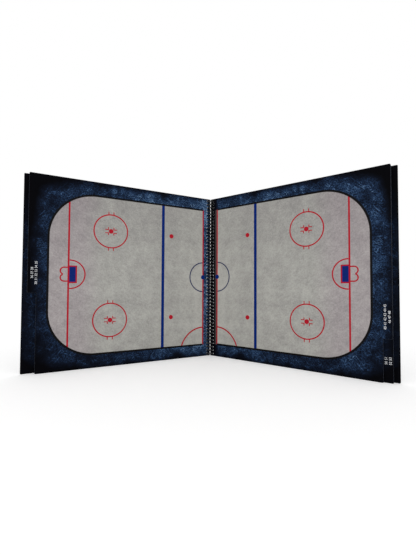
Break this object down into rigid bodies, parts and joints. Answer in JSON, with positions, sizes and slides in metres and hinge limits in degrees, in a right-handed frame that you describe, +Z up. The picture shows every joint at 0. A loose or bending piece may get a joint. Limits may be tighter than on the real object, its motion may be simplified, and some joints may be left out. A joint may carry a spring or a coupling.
{
  "type": "coil bound dry erase coaching book",
  "caption": "Coil bound dry erase coaching book, standing open in a V, with punched stiff covers and step cut laminated leaves that turn about the coil.",
  "frame": {"origin": "middle of the footprint of the standing book, at the sheets' lower edges", "axes": "+Z up along the coil, +X to the reader's right, the reader stands on the -Y side"},
  "size_m": [0.5258, 0.1738, 0.292],
  "materials": {
    "cover_board": "satin",
    "laminated_leaf": "gloss",
    "coil_plastic": "gloss"
  },
  "bodies": {
    "binding": {"binding_coil": "coil_plastic"},
    "back_cover": {"back_cover": "cover_board"},
    "front_cover": {"front_cover": "cover_board"},
    "leaf_1": {"leaf_1": "laminated_leaf"},
    "leaf_2": {"leaf_2": "laminated_leaf"},
    "leaf_3": {"leaf_3": "laminated_leaf"},
    "leaf_4": {"leaf_4": "laminated_leaf"},
    "leaf_5": {"leaf_5": "laminated_leaf"}
  },
  "joints": [
    {"name": "back_cover_opening", "type": "hinge", "parent": "binding", "child": "back_cover", "pos_m": [-0.00069, 0.07923, 0.146], "axis": [0, 0, 1], "range_deg": [-56.45, 52]},
    {"name": "front_cover_opening", "type": "hinge", "parent": "binding", "child": "front_cover", "pos_m": [-0.00069, 0.07923, 0.146], "axis": [0, 0, -1], "range_deg": [-56.6, 52.2]},
    {"name": "leaf_1_lifting", "type": "hinge", "parent": "front_cover", "child": "leaf_1", "pos_m": [-0.00069, 0.07923, 0.146], "axis": [0, 0, 1], "range_deg": [-0.4, 15]},
    {"name": "leaf_2_lifting", "type": "hinge", "parent": "leaf_1", "child": "leaf_2", "pos_m": [-0.00069, 0.07923, 0.146], "axis": [0, 0, 1], "range_deg": [-0.4, 15]},
    {"name": "leaf_3_turning", "type": "hinge", "parent": "leaf_2", "child": "leaf_3", "pos_m": [-0.00069, 0.07923, 0.146], "axis": [0, 0, 1], "range_deg": [-0.4, 112.9]},
    {"name": "leaf_5_lifting", "type": "hinge", "parent": "back_cover", "child": "leaf_5", "pos_m": [-0.00069, 0.07923, 0.146], "axis": [0, 0, -1], "range_deg": [-1.12, 15]},
    {"name": "leaf_4_turning", "type": "hinge", "parent": "leaf_5", "child": "leaf_4", "pos_m": [-0.00069, 0.07923, 0.146], "axis": [0, 0, -1], "range_deg": [-0.62, 58]}
  ],
  "couplings": [
    {"joint": "front_cover_opening", "follows": "back_cover_opening", "ratio": 1}
  ]
}
